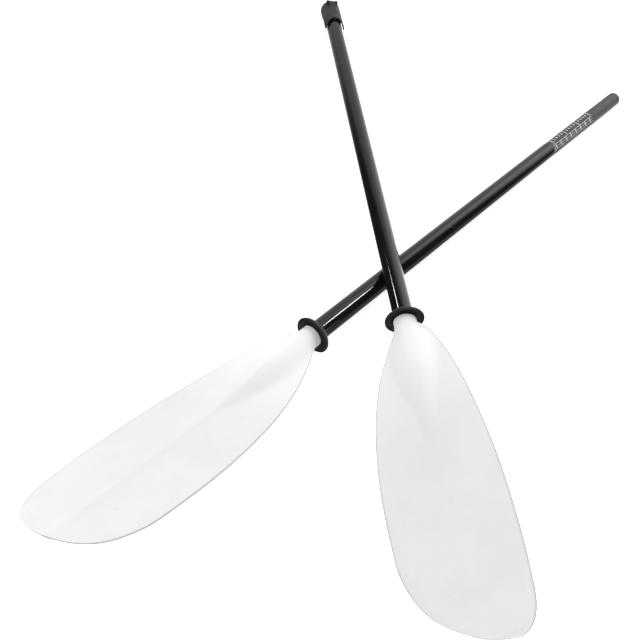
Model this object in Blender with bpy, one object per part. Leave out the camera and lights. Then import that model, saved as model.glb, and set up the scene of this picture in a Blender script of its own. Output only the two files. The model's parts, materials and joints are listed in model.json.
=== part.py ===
"""Two-piece adjustable kayak paddle, taken apart, its two halves lying crossed on a floor.

Each half is modelled along its own shaft: +Y runs from the blade to the free end of the
shaft, Y = 0 is the face of the blade's neck, and +Z is up. An empty then lays the half down.
The left half carries the male ferrule and lies underneath; the right half carries the
socket with its lever clamp, and rests across the left shaft.
"""
import math

import bmesh
import bpy
import numpy as np
from mathutils import Matrix, Vector

# ---------------------------------------------------------------- driving dimensions (metres)
GAP = 0.0003                 # between pieces that touch
SIDES = 32                   # facets round a tube

SHAFT_OD = 0.030
SHAFT_WALL = 0.0009
LEFT_SHAFT_LENGTH = 0.667    # from the neck face to the ferrule's shoulder
RIGHT_LENGTH = 0.8325        # from the neck face to the mouth of the socket
INSERT_DEPTH = 0.060         # how far a shaft goes into its blade

FERRULE_CLEARANCE = 0.00015  # of the ferrule inside the shaft's bore
FERRULE_WALL = 0.0018
FERRULE_LENGTH = 0.277       # showing past the shaft
FERRULE_STUB = 0.080         # held inside the shaft
SCALE_START = 0.008          # from the ferrule's shoulder
SCALE_LENGTH = 0.150
SCALE_THICKNESS = 0.0003
CAP_FLANGE = 0.0015
CAP_SPIGOT = 0.010

BLADE_LENGTH = 0.4305         # from the end of the round neck to the tip
BLADE_WIDTH = 0.155
NECK_WALL = 0.0012
NECK_LENGTH = 0.008
BLADE_EDGE = 0.0020          # thickness at the edge
BLADE_SPOON = 0.0096         # how far the tip curls towards the power face
BLADE_DIHEDRAL = 0.054       # how far the face falls away to each side of the spine
LEFT_ROLL = math.radians(-19.2)     # of the blade about the shaft
RIGHT_ROLL = math.radians(-29.6)

RING_FLANGE = 0.0124         # from the neck to the ring's lip
RING_LENGTH = 0.014
RING_DEPTH = 0.0078          # from the lip to the back of the dish
RING_WALL = 0.0018

PLUG_LENGTH = 0.034
RIVET_SHANK = 0.0040
RIVET_HEAD = 0.0072
RIVET_HEAD_THICKNESS = 0.0012

LEVER_CLEARANCE = 0.00045    # between the housing's thin part and the closed lever
MOUTH_LENGTH = 0.018         # the thick part of the housing, past the end of the tube
SLEEVE_LENGTH = 0.034        # the thin part of the housing, on the tube
SLEEVE_WALL = 0.0018
LEVER_WALL = 0.0022
LEVER_LENGTH = 0.061         # from the mouth part to the tips of its two ears
LEVER_SCOOP = 0.013          # how far the arch cuts in behind the ears
HINGE_PIN = 0.0030
PAD_THICKNESS = 0.00245      # between the ferrule and the cam
MOUTH_LIP = 0.0016           # ahead of the wiper's groove
SLOT_WALL = 0.0006           # between the groove and the cam's slot
SLOT_SPARE = 0.0008          # ahead of the cam in its slot
KNUCKLE_HALF = 0.0062
BOSS_HALF = 0.0115
CAM_RADIUS = 0.0036
CAM_DROP = 0.0006            # how much smaller the cam is when the lever stands open
LEVER_OPEN = math.radians(85)
PAD_WIDTH = 0.0100
PAD_LENGTH = 0.0080
WIPER_WIDTH = 0.0018
WIPER_DEPTH = 0.0013

CROSS_ANGLE = math.radians(49.54)
LEFT_CROSS = 0.1704          # from the left neck face to the crossing
RIGHT_CROSS = 0.1072         # from the right neck face to the crossing

# ---------------------------------------------------------------- sizes that follow from them
SHAFT_R = SHAFT_OD / 2
BORE_R = SHAFT_R - SHAFT_WALL
SEAT_R = SHAFT_R + GAP + SHAFT_R * (1 - math.cos(math.pi / SIDES))
NECK_R = SEAT_R + NECK_WALL
RING_RADIUS = NECK_R + RING_FLANGE
FERRULE_R = BORE_R - FERRULE_CLEARANCE
SLEEVE_R = SEAT_R + SLEEVE_WALL
COLLAR_R = SLEEVE_R + LEVER_CLEARANCE + LEVER_WALL
GROOVE_WIDTH = WIPER_WIDTH + 2 * GAP
HINGE_BACK = MOUTH_LIP + GROOVE_WIDTH + SLOT_WALL + SLOT_SPARE + CAM_RADIUS
HINGE_HEIGHT = FERRULE_R + PAD_THICKNESS + GAP + CAM_RADIUS
TUBE_END = RIGHT_LENGTH - MOUTH_LENGTH - GAP
INNER_FIT = BORE_R * math.cos(math.pi / SIDES) - GAP
HINGE_Y = RIGHT_LENGTH - HINGE_BACK

# Outlines of the blade: (share of its length, offset past the neck as a share of its width)
LONG_EDGE = ((0, 0), (.012, .035), (.045, .105), (.149, .208), (.293, .291), (.498, .355),
             (.690, .370), (.835, .358), (.932, .328), (.983, .252), (1, .135))
SHORT_EDGE = ((0, 0), (.030, .040), (.091, .130), (.198, .258), (.342, .358), (.522, .407),
              (.703, .398), (.810, .360), (.907, .220), (.974, -.040), (1, -.349))
TIP_ROUNDING = 1.4
BLADE_ROWS = 34
BLADE_COLUMNS = 8            # on each side of the spine


# ---------------------------------------------------------------- scene and materials
def clear_scene():
    for old in list(bpy.data.objects):
        bpy.data.objects.remove(old, do_unlink=True)


def make_material(name, colour, roughness, metallic=0.0):
    material = bpy.data.materials.new(name)
    material.use_nodes = True
    shader = material.node_tree.nodes["Principled BSDF"]
    shader.inputs["Base Color"].default_value = (*colour, 1)
    shader.inputs["Roughness"].default_value = roughness
    shader.inputs["Metallic"].default_value = metallic
    material.diffuse_color = (*colour, 1)
    return material


def make_materials():
    return {
        "blade": make_material("blade_white_plastic", (0.82, 0.83, 0.84), 0.35),
        "shaft": make_material("shaft_gloss_black", (0.012, 0.012, 0.013), 0.12),
        "rubber": make_material("black_rubber", (0.02, 0.02, 0.02), 0.7),
        "foam": make_material("grey_foam", (0.25, 0.25, 0.26), 0.95),
        "ferrule": make_material("ferrule_grey", (0.09, 0.09, 0.095), 0.35),
        "clamp": make_material("clamp_grey_plastic", (0.06, 0.06, 0.062), 0.5),
        "scale": make_material("scale_print", (0.35, 0.35, 0.36), 0.5),
        "steel": make_material("stainless_steel", (0.6, 0.6, 0.6), 0.3, 1.0),
    }


def make_empty(name, parent, location, turn=Matrix()):
    empty = bpy.data.objects.new(name, None)
    bpy.context.scene.collection.objects.link(empty)
    empty.parent = parent
    empty.location = location
    empty.rotation_euler = turn.to_euler()
    return empty


def finish(bm, name, material, parent, origin=(0, 0, 0), smooth_angle=35):
    """Turns a bmesh in the half's frame into an object with its own origin."""
    bmesh.ops.recalc_face_normals(bm, faces=bm.faces)
    bmesh.ops.translate(bm, verts=bm.verts, vec=-Vector(origin))
    mesh = bpy.data.meshes.new(name)
    bm.to_mesh(mesh)
    bm.free()
    mesh.materials.append(material)
    mesh.shade_smooth()
    mesh.set_sharp_from_angle(angle=math.radians(smooth_angle))
    obj = bpy.data.objects.new(name, mesh)
    bpy.context.scene.collection.objects.link(obj)
    obj.parent = parent
    obj.location = origin
    return obj


# ---------------------------------------------------------------- shapes
def turned(profile, sides=SIDES):
    """Turns a closed (y, radius) profile about the shaft's axis."""
    bm = bmesh.new()
    verts = [bm.verts.new((0, y, r)) for y, r in profile]
    edges = [bm.edges.new((verts[i - 1], verts[i])) for i in range(len(verts))]
    bmesh.ops.spin(bm, geom=verts + edges, cent=(0, 0, 0), axis=(0, 1, 0),
                   angle=math.tau, steps=sides, use_duplicate=False)
    bmesh.ops.remove_doubles(bm, verts=bm.verts, dist=1e-6)
    return bm


def solid_turned(profile, sides=SIDES):
    """Turns an open (y, radius) profile and closes both its ends with flat caps."""
    bm = bmesh.new()
    verts = [bm.verts.new((0, y, r)) for y, r in profile]
    edges = [bm.edges.new((verts[i], verts[i + 1])) for i in range(len(verts) - 1)]
    bmesh.ops.spin(bm, geom=verts + edges, cent=(0, 0, 0), axis=(0, 1, 0),
                   angle=math.tau, steps=sides, use_duplicate=False)
    bmesh.ops.remove_doubles(bm, verts=bm.verts, dist=1e-6)
    rim = [edge for edge in bm.edges if edge.is_boundary]
    bmesh.ops.holes_fill(bm, edges=rim, sides=sides)
    return bm


def tube(y_start, y_end, outer, inner):
    return turned(((y_start, outer), (y_end, outer), (y_end, inner), (y_start, inner)))


def box(bm, low, high):
    size = [b - a for a, b in zip(low, high)]
    middle = [(a + b) / 2 for a, b in zip(low, high)]
    matrix = Matrix.Translation(middle) @ Matrix.Diagonal((*size, 1))
    return bmesh.ops.create_cube(bm, size=1, matrix=matrix)["verts"]


def rod(bm, radius, start, end, sides=24):
    """A closed cylinder between two points."""
    start = Vector(start)
    end = Vector(end)
    turn = (end - start).to_track_quat("Z", "Y").to_matrix().to_4x4()
    matrix = Matrix.Translation((start + end) / 2) @ turn
    bmesh.ops.create_cone(bm, cap_ends=True, segments=sides, radius1=radius, radius2=radius,
                          depth=(end - start).length, matrix=matrix)


def side_extruded(bm, outline, half_width):
    """Extrudes a side view (y, z) outline to both sides of the middle plane."""
    face = bm.faces.new([bm.verts.new((-half_width, y, z)) for y, z in outline])
    moved = bmesh.ops.extrude_face_region(bm, geom=[face])["geom"]
    points = [item for item in moved if isinstance(item, bmesh.types.BMVert)]
    bmesh.ops.translate(bm, verts=points, vec=(2 * half_width, 0, 0))


def arc(centre, radius, start, end, steps):
    """Points (y, z) on an arc; angles are in degrees from straight down towards the mouth."""
    points = []
    for i in range(steps + 1):
        angle = math.radians(start + (end - start) * i / steps)
        points.append((centre[0] + radius * math.sin(angle), centre[1] - radius * math.cos(angle)))
    return points


def cutter(name, parent, build):
    """A hidden solid that cuts, or joins to, another piece."""
    bm = bmesh.new()
    build(bm)
    obj = finish(bm, name, TOOL, parent)
    obj.hide_render = True
    obj.display_type = "WIRE"
    return obj


def boolean(obj, tool, operation="DIFFERENCE"):
    modifier = obj.modifiers.new(tool.name, "BOOLEAN")
    modifier.operation = operation
    modifier.object = tool
    modifier.solver = "EXACT"
    return modifier


# ---------------------------------------------------------------- blade
def smooth_curve(points, place):
    """Catmull-Rom curve through the points; place runs from 0 to the last point's number."""
    points = [Vector(p) for p in points]
    last = len(points) - 1
    i = min(int(place), last - 1)
    t = place - i
    slopes = []
    for k in (i, i + 1):
        before = points[max(k - 1, 0)]
        after = points[min(k + 1, last)]
        slopes.append((after - before) / (2 if 0 < k < last else 1))
    if i + 1 == last:
        slopes[1] = Vector((0, TIP_ROUNDING * slopes[1].y))     # straight across at the tip
    a, b = points[i], points[i + 1]
    return (a * (2 * t**3 - 3 * t**2 + 1) + slopes[0] * (t**3 - 2 * t**2 + t)
            + b * (3 * t**2 - 2 * t**3) + slopes[1] * (t**3 - t**2))


def ease(value, start, end):
    t = min(max((value - start) / (end - start), 0), 1)
    return t * t * (3 - 2 * t)


def blade_middle(station, offset):
    """Height of the middle of the blade's wall: spoon curl and dihedral."""
    along = station / BLADE_LENGTH
    curl = BLADE_SPOON * max(along, 0)**2
    fall = BLADE_DIHEDRAL * abs(offset) * (1 - ease(along, 0.25, 0.95))
    return (curl - fall) * ease(station, 0, 0.045)


def blade_half_thickness(station, offset, back):
    """Half the wall, with the raised spine that grows into the round neck."""
    flare = ease(station, -0.001, 0.040)
    edge = BLADE_EDGE / 2 * flare
    socket_end = INSERT_DEPTH - NECK_LENGTH + 0.004
    fade = ease(station, socket_end, socket_end + (0.17 if back else 0.09))
    spine_end = 0.0024 if back else 0.0016
    height = NECK_R * (1 - fade) + spine_end * fade
    width = NECK_R * (1 + 0.85 * flare - 1.15 * fade)
    share = max(1 - (offset / width)**2, 0)
    return max(edge + (height - edge) * share**(0.5 + 1.5 * flare), GAP)


def blade_row(place):
    """Front and back points (offset, station, height) of the row that joins the two edges."""
    long_edge = smooth_curve(LONG_EDGE, place)
    short_edge = smooth_curve(SHORT_EDGE, place)
    last = len(LONG_EDGE) - 1
    long_end = Vector((NECK_R + long_edge[1] * BLADE_WIDTH, long_edge[0] * BLADE_LENGTH))
    short_end = Vector((-NECK_R - short_edge[1] * BLADE_WIDTH, short_edge[0] * BLADE_LENGTH))
    tip_offset = NECK_R + LONG_EDGE[-1][1] * BLADE_WIDTH
    spine = Vector((tip_offset * ease(place, last - 2, last), (long_end.y + short_end.y) / 2))
    flare = ease(place, 0, 2.5)
    front = []
    back = []
    for step in range(-BLADE_COLUMNS, BLADE_COLUMNS + 1):
        even = abs(step) / BLADE_COLUMNS
        share = (1 - flare) * math.sin(even * math.pi / 2) + flare * even**1.15
        offset, station = spine.lerp(long_end if step > 0 else short_end, share)
        middle = blade_middle(station, offset)
        front.append((offset, station, middle + blade_half_thickness(station, offset, False)))
        back.append((offset, station, middle - blade_half_thickness(station, offset, True)))
    return front, back


def make_blade(name, parent, side, roll):
    """side is +1 where the long edge of the blade is on +X."""
    last = len(LONG_EDGE) - 1
    places = [last * i / BLADE_ROWS for i in range(BLADE_ROWS)] + [last - 0.06]
    sections = []
    for place in places:
        front, back = blade_row(place)
        section = [(side * x, -NECK_LENGTH - s, z) for x, s, z in front + back[::-1]]
        if not sections:
            sections.append([(x, 0, z) for x, _, z in section])
        sections.append(section)
    bm = bmesh.new()
    loops = [[bm.verts.new(point) for point in section] for section in sections]
    count = len(loops[0])
    for lower, upper in zip(loops, loops[1:]):
        for i in range(count):
            j = (i + 1) % count
            bm.faces.new((lower[i], lower[j], upper[j], upper[i]))
    bm.faces.new(loops[0])
    bm.faces.new(loops[-1])
    bmesh.ops.rotate(bm, verts=bm.verts, cent=(0, 0, 0),
                     matrix=Matrix.Rotation(roll, 3, "Y"))
    blade = finish(bm, name, MATERIALS["blade"], parent)
    bore = cutter(name + "_bore", parent, lambda tool: rod(
        tool, SEAT_R, (0, -INSERT_DEPTH - GAP, 0), (0, 0.01, 0), SIDES))
    boolean(blade, bore)
    return blade


# ---------------------------------------------------------------- pieces on both halves
def make_drip_ring(name, parent):
    """A rubber dish with a sleeve; it rests against the neck and can slide up the shaft."""
    y = GAP
    lip = RING_RADIUS
    back = y + RING_DEPTH
    profile = (
        (y, SEAT_R),
        (y, NECK_R + 0.0004),
        (y + 0.0030, NECK_R + 0.0008),
        (y + 0.0044, NECK_R + 0.0030),
        (y + 0.0042, lip - RING_WALL - 0.0032),
        (y + 0.0022, lip - RING_WALL - 0.0010),
        (y - 0.0002, lip - RING_WALL),
        (y - 0.0010, lip - RING_WALL / 2),
        (y, lip),
        (y + 0.0024, lip - 0.0002),
        (y + 0.0052, lip - 0.0022),
        (back - 0.0006, lip - 0.0058),
        (back, NECK_R + 0.0030),
        (back + 0.0014, NECK_R + 0.0006),
        (y + RING_LENGTH - 0.0006, NECK_R - 0.0001),
        (y + RING_LENGTH, NECK_R - 0.0006),
        (y + RING_LENGTH, SEAT_R),
    )
    return finish(turned(profile, 48), name, MATERIALS["rubber"], parent)


def make_float_plug(name, parent):
    """Foam that seals the blade end of a shaft, so that it floats."""
    start = -INSERT_DEPTH + 0.002
    profile = ((start, INNER_FIT), (start + PLUG_LENGTH, INNER_FIT))
    return finish(solid_turned(profile), name, MATERIALS["foam"], parent)


def radial(angle):
    """Unit vector out of the shaft, at an angle from straight up towards +X."""
    return Vector((math.sin(angle), 0, math.cos(angle)))


def make_rivet(name, parent, y, angle, outer_radius, pieces):
    """A blind rivet through a wall and the shaft inside it; pieces get the hole."""
    out = radial(angle)
    tail = BORE_R - 0.0007
    seat = outer_radius + GAP
    shank = RIVET_SHANK / 2
    head = RIVET_HEAD / 2
    profile = (
        (tail - 0.0012, shank + 0.0005),
        (tail - 0.0003, shank + 0.0008),
        (tail, shank),
        (seat, shank),
        (seat, head),
        (seat + RIVET_HEAD_THICKNESS * 0.4, head),
        (seat + RIVET_HEAD_THICKNESS, head * 0.55),
    )
    bm = solid_turned(profile, 16)
    turn = Vector((0, 1, 0)).rotation_difference(out).to_matrix()
    bmesh.ops.rotate(bm, verts=bm.verts, cent=(0, 0, 0), matrix=turn)
    bmesh.ops.translate(bm, verts=bm.verts, vec=(0, y, 0))
    foot = Vector((0, y, 0))
    hole = cutter(name + "_hole", parent, lambda tool: rod(
        tool, shank + GAP, foot + out * (tail - 0.003), foot + out * (seat + 0.003), 16))
    for piece in pieces:
        boolean(piece, hole)
    return finish(bm, name, MATERIALS["steel"], parent)


def make_half(prefix, parent, shaft_end, side, roll):
    """The pieces that the two halves share; returns the shaft, which the clamp is riveted to."""
    blade = make_blade(prefix + "_blade", parent, side, roll)
    shaft = finish(tube(-INSERT_DEPTH, shaft_end, SHAFT_R, BORE_R),
                   prefix + "_shaft", MATERIALS["shaft"], parent)
    make_drip_ring(prefix + "_drip_ring", parent)
    make_float_plug(prefix + "_float_plug", parent)
    make_rivet(prefix + "_neck_rivet", parent, -0.011, roll + math.pi, NECK_R + 0.0006,
               (blade, shaft))
    return shaft


# ---------------------------------------------------------------- ferrule on the left half
def make_ferrule(parent):
    start = LEFT_SHAFT_LENGTH + GAP
    end = LEFT_SHAFT_LENGTH + FERRULE_LENGTH
    cap = end - CAP_FLANGE
    inner = FERRULE_R - FERRULE_WALL
    film = FERRULE_R - SCALE_THICKNESS
    scale_start = start + SCALE_START
    scale_end = scale_start + SCALE_LENGTH
    ferrule = (
        (start - FERRULE_STUB, INNER_FIT),
        (start, INNER_FIT),
        (start, FERRULE_R),
        (scale_start - GAP, FERRULE_R),
        (scale_start - GAP, film - GAP),
        (scale_end + GAP, film - GAP),
        (scale_end + GAP, FERRULE_R),
        (cap - GAP, FERRULE_R),
        (cap - GAP, inner),
        (start - FERRULE_STUB, inner),
    )
    finish(turned(ferrule), "male_ferrule", MATERIALS["ferrule"], parent)
    finish(tube(scale_start, scale_end, FERRULE_R, film), "scale_sleeve",
           MATERIALS["scale"], parent)
    spigot = inner * math.cos(math.pi / SIDES) - GAP
    end_cap = (
        (cap - CAP_SPIGOT, spigot - 0.0005),
        (cap - CAP_SPIGOT + 0.001, spigot),
        (cap, spigot),
        (cap, FERRULE_R),
        (end - 0.0004, FERRULE_R),
        (end, FERRULE_R - 0.0004),
    )
    finish(solid_turned(end_cap), "ferrule_end_cap", MATERIALS["rubber"], parent)


# ---------------------------------------------------------------- lever clamp on the right half
def make_housing(parent, shaft):
    mouth = FERRULE_R + GAP
    body = TUBE_END + GAP
    end = RIGHT_LENGTH
    groove = end - MOUTH_LIP
    groove_r = mouth + WIPER_DEPTH + GAP
    profile = (
        (TUBE_END - SLEEVE_LENGTH, SEAT_R),
        (TUBE_END - SLEEVE_LENGTH, SLEEVE_R),
        (body, SLEEVE_R),
        (body, COLLAR_R),
        (end - 0.0032, COLLAR_R),
        (end - 0.0014, COLLAR_R - 0.0006),
        (end - 0.0004, COLLAR_R - 0.0016),
        (end, COLLAR_R - 0.0028),
        (end, mouth),
        (groove, mouth),
        (groove, groove_r),
        (groove - GROOVE_WIDTH, groove_r),
        (groove - GROOVE_WIDTH, mouth),
        (body, mouth),
        (body, SEAT_R),
    )
    housing = finish(turned(profile), "clamp_housing", MATERIALS["clamp"], parent)
    floor = HINGE_HEIGHT - CAM_RADIUS - GAP
    slot = KNUCKLE_HALF + GAP
    pin_hole = HINGE_PIN / 2 + GAP

    def boss(tool):
        foot = mouth + 0.0008
        outline = [(HINGE_Y - CAM_RADIUS, foot), (HINGE_Y + CAM_RADIUS, foot)]
        outline += arc((HINGE_Y, HINGE_HEIGHT), CAM_RADIUS, 90, 270, 12)
        side_extruded(tool, outline, BOSS_HALF)

    def knuckle_slot(tool):
        box(tool, (-slot, body - 0.002, floor),
            (slot, HINGE_Y + CAM_RADIUS + SLOT_SPARE, HINGE_HEIGHT + 2 * CAM_RADIUS))

    def pad_window(tool):
        box(tool, (-PAD_WIDTH / 2 - GAP, HINGE_Y - PAD_LENGTH / 2 - GAP, mouth - 0.004),
            (PAD_WIDTH / 2 + GAP, HINGE_Y + PAD_LENGTH / 2 + GAP, floor + 0.002))

    def pin_bore(tool):
        rod(tool, pin_hole, (-2 * BOSS_HALF, HINGE_Y, HINGE_HEIGHT),
            (2 * BOSS_HALF, HINGE_Y, HINGE_HEIGHT), 16)

    boolean(housing, cutter("housing_boss", parent, boss), "UNION")
    for build in (knuckle_slot, pad_window, pin_bore):
        boolean(housing, cutter("housing_" + build.__name__, parent, build))
    finish(tube(groove - GROOVE_WIDTH + GAP, groove - GAP, mouth + WIPER_DEPTH - GAP / 2,
                mouth - GAP / 2), "socket_wiper", MATERIALS["rubber"], parent)
    rivet_y = TUBE_END - SLEEVE_LENGTH / 2
    for name, angle in (("housing_rivet_left", -140), ("housing_rivet_right", 140)):
        make_rivet(name, parent, rivet_y, math.radians(angle), SLEEVE_R, (housing, shaft))


def cam_outline():
    """Side view (y, z) of the lever's arm and its cam, which shrinks from bottom to front."""
    body = TUBE_END + GAP
    shell_top = COLLAR_R - LEVER_WALL / 2
    outline = [(body - 0.009, shell_top - 0.0004)]
    for degrees in range(-40, 181, 10):
        angle = math.radians(degrees)
        turn = min(max(angle / LEVER_OPEN, 0), 1)
        radius = CAM_RADIUS - CAM_DROP * turn
        outline.append((HINGE_Y + radius * math.sin(angle),
                        HINGE_HEIGHT - radius * math.cos(angle)))
    outline.append((body - 0.003, COLLAR_R + 0.0008))
    outline.append((body - 0.009, shell_top + 0.0004))
    return outline


def make_lever(parent):
    """A half shell over the shaft, hinged at the mouth, with a scooped end between two ears."""
    body = TUBE_END + GAP
    inner = COLLAR_R - LEVER_WALL
    ear_tip = body - LEVER_LENGTH
    reach = 2 * COLLAR_R
    lever = finish(tube(ear_tip, TUBE_END - GAP, COLLAR_R, inner), "clamp_lever",
                   MATERIALS["clamp"], parent, (0, HINGE_Y, HINGE_HEIGHT))

    def lower_half(tool):
        box(tool, (-reach, ear_tip - 0.01, -reach), (reach, body + 0.01, -GAP))

    def scoop(tool):
        radius = (COLLAR_R**2 + LEVER_SCOOP**2) / (2 * LEVER_SCOOP)
        centre = ear_tip + LEVER_SCOOP - radius
        rod(tool, radius, (0, centre, -0.005), (0, centre, reach), 48)

    def arm(tool):
        side_extruded(tool, cam_outline(), KNUCKLE_HALF)

    def finger_rib(tool):
        arch = ear_tip + LEVER_SCOOP
        box(tool, (-0.0008, arch - 0.005, SHAFT_R + 0.0007), (0.0008, arch + 0.004, inner + 0.0004))

    def pin_bore(tool):
        rod(tool, HINGE_PIN / 2 + GAP, (-reach, HINGE_Y, HINGE_HEIGHT),
            (reach, HINGE_Y, HINGE_HEIGHT), 16)

    for build in (lower_half, scoop):
        boolean(lever, cutter("lever_" + build.__name__, parent, build))
    for build in (arm, finger_rib):
        boolean(lever, cutter("lever_" + build.__name__, parent, build), "UNION")
    boolean(lever, cutter("lever_" + pin_bore.__name__, parent, pin_bore))


def make_pin(parent):
    bm = bmesh.new()
    half = BOSS_HALF - 0.0002
    rod(bm, HINGE_PIN / 2, (-half, HINGE_Y, HINGE_HEIGHT), (half, HINGE_Y, HINGE_HEIGHT), 16)
    finish(bm, "lever_pivot_pin", MATERIALS["steel"], parent)


def make_pad(parent):
    """The block that the cam presses on the ferrule through the housing's window."""
    top = HINGE_HEIGHT - CAM_RADIUS - GAP
    grip = FERRULE_R - 0.0001
    half_width = PAD_WIDTH / 2
    half_length = PAD_LENGTH / 2
    bm = bmesh.new()
    box(bm, (-half_width, HINGE_Y - half_length, grip - 0.003),
        (half_width, HINGE_Y + half_length, top))
    pad = finish(bm, "pressure_pad", MATERIALS["rubber"], parent, (0, HINGE_Y, top))
    hollow = cutter("pad_hollow", parent, lambda tool: rod(
        tool, grip, (0, HINGE_Y - 0.01, 0), (0, HINGE_Y + 0.01, 0), 64))
    boolean(pad, hollow)


# ---------------------------------------------------------------- laying the halves down
def lay_down():
    """Both halves on the floor: the ring and ferrule carry the left, the left and its own
    clamp carry the right. The crossing point is at X = Y = 0 until the model is centred."""
    root = make_empty("paddle", None, (0, 0, 0))
    left_end = LEFT_SHAFT_LENGTH + FERRULE_LENGTH
    left_pitch = math.asin((RING_RADIUS - FERRULE_R) / left_end)
    left_height = RING_RADIUS * math.cos(left_pitch)
    turn = Matrix.Rotation(-CROSS_ANGLE, 4, "Z") @ Matrix.Rotation(-left_pitch, 4, "X")
    start = turn @ Vector((0, -LEFT_CROSS, 0))
    left = make_empty("left_half", root, (start.x, start.y, left_height), turn)

    cross_height = left_height + (turn @ Vector((0, LEFT_CROSS, 0))).z + SHAFT_OD + 0.0004
    drop = cross_height - COLLAR_R
    right_pitch = math.asin(drop / (RIGHT_LENGTH - RIGHT_CROSS))
    turn = Matrix.Rotation(-right_pitch, 4, "X")
    start = turn @ Vector((0, -RIGHT_CROSS, 0))
    right = make_empty("right_half", root, (0, start.y, cross_height + start.z), turn)
    return root, left, right


def centre_on_floor(root):
    """Moves the model so that X = Y = Z = 0 is the middle of its box's bottom."""
    bpy.context.view_layer.update()
    graph = bpy.context.evaluated_depsgraph_get()
    points = []
    for obj in bpy.data.objects:
        if obj.type != "MESH" or obj.hide_render:
            continue
        evaluated = obj.evaluated_get(graph)
        points.extend(evaluated.matrix_world @ v.co for v in evaluated.data.vertices)
    points = np.array(points)
    low = points.min(axis=0)
    high = points.max(axis=0)
    root.location -= Vector(((low[0] + high[0]) / 2, (low[1] + high[1]) / 2, low[2]))


clear_scene()
MATERIALS = make_materials()
TOOL = make_material("cutting_tool", (0.9, 0.3, 0.1), 0.5)
paddle, left_half, right_half = lay_down()
make_half("left", left_half, LEFT_SHAFT_LENGTH, -1, LEFT_ROLL)
make_ferrule(left_half)
right_shaft = make_half("right", right_half, TUBE_END, 1, RIGHT_ROLL)
make_housing(right_half, right_shaft)
make_lever(right_half)
make_pin(right_half)
make_pad(right_half)
centre_on_floor(paddle)
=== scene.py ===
"""Take-apart kayak paddle: two white blades on gloss black shafts, lying crossed on a floor.

Every piece is drawn in its own half's frame, in metres: +Y runs from the blade to the free
end of the shaft, Y = 0 is the face of the blade's neck and +Z is up. It is then laid down in
the model's frame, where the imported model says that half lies.
"""

import json
import math

import bmesh
import bpy
from mathutils import Matrix, Vector


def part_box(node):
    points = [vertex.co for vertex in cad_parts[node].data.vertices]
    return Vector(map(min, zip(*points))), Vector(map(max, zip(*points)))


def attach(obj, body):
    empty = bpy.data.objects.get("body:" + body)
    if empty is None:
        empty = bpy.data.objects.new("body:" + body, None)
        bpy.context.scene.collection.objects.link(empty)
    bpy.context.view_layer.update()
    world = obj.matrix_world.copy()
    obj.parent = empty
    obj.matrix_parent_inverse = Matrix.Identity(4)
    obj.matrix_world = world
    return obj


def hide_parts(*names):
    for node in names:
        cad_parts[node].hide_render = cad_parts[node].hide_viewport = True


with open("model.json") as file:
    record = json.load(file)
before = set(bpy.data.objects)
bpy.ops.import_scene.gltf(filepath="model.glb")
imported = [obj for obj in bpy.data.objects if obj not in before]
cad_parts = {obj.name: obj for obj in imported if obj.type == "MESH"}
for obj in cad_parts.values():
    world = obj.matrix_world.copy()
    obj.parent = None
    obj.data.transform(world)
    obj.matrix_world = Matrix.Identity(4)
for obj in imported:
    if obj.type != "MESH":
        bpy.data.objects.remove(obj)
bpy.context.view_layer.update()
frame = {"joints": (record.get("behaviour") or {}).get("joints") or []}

# ---------------------------------------------------------------- sizes, in metres
GAP = 0.0003
CAD_SIDES = 32
SHAFT_RADIUS = 0.015
SHAFT_WALL = 0.0009
LEFT_SHAFT_LENGTH = 0.667
RIGHT_LENGTH = 0.8325
INSERT_DEPTH = 0.060
MOUTH_LENGTH = 0.018
TUBE_END = RIGHT_LENGTH - MOUTH_LENGTH - GAP
BORE_RADIUS = SHAFT_RADIUS - SHAFT_WALL
SEAT_RADIUS = SHAFT_RADIUS + GAP + SHAFT_RADIUS * (1 - math.cos(math.pi / CAD_SIDES))
INNER_FIT = BORE_RADIUS * math.cos(math.pi / CAD_SIDES) - GAP

FERRULE_RADIUS = 0.01395
FERRULE_WALL = 0.0018
FERRULE_LENGTH = 0.277
FERRULE_STUB = 0.080
SCALE_START = 0.008
SCALE_LENGTH = 0.150
SCALE_THICKNESS = 0.0003
CAP_FLANGE = 0.0015
CAP_SPIGOT = 0.010

BLADE_LENGTH = 0.4305
BLADE_WIDTH = 0.155
NECK_RADIUS = SEAT_RADIUS + 0.0012
NECK_LENGTH = 0.008
BLADE_EDGE = 0.0020
BLADE_SPOON = 0.0096
BLADE_DIHEDRAL = 0.054
LEFT_ROLL = math.radians(-19.2)
RIGHT_ROLL = math.radians(-29.6)
LONG_EDGE = ((0, 0), (.012, .035), (.045, .105), (.149, .208), (.293, .291), (.498, .355),
             (.690, .370), (.835, .358), (.932, .328), (.983, .252), (1, .135))
SHORT_EDGE = ((0, 0), (.030, .040), (.091, .130), (.198, .258), (.342, .358), (.522, .407),
              (.703, .398), (.810, .360), (.907, .220), (.974, -.040), (1, -.349))
TIP_ROUNDING = 1.4

RING_RADIUS = 0.02893
RING_LENGTH = 0.014
RING_DEPTH = 0.0078
RING_WALL = 0.0018

SLEEVE_LENGTH = 0.034
SLEEVE_RADIUS = SEAT_RADIUS + 0.0018
LEVER_WALL = 0.0022
COLLAR_RADIUS = SLEEVE_RADIUS + 0.00045 + LEVER_WALL
LEVER_LENGTH = 0.061
LEVER_SCOOP = 0.013
HINGE_PIN = 0.0030
HINGE_HEIGHT = 0.0203
HINGE_Y = RIGHT_LENGTH - 0.009
KNUCKLE_HALF = 0.0062
BOSS_HALF = 0.0115
CAM_RADIUS = 0.0036
CAM_DROP = 0.0006
LEVER_OPEN = math.radians(85)
NECK_RIVET_Y = -0.011
PLUG_INSET = 0.002
PLUG_LENGTH = 0.034
PAD_WIDTH = 0.0100
PAD_LENGTH = 0.0080
WIPER_WIDTH = 0.0018
WIPER_DEPTH = 0.0013

TUBE_SIDES = 96
UP = Vector((0, 0, 1))


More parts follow.
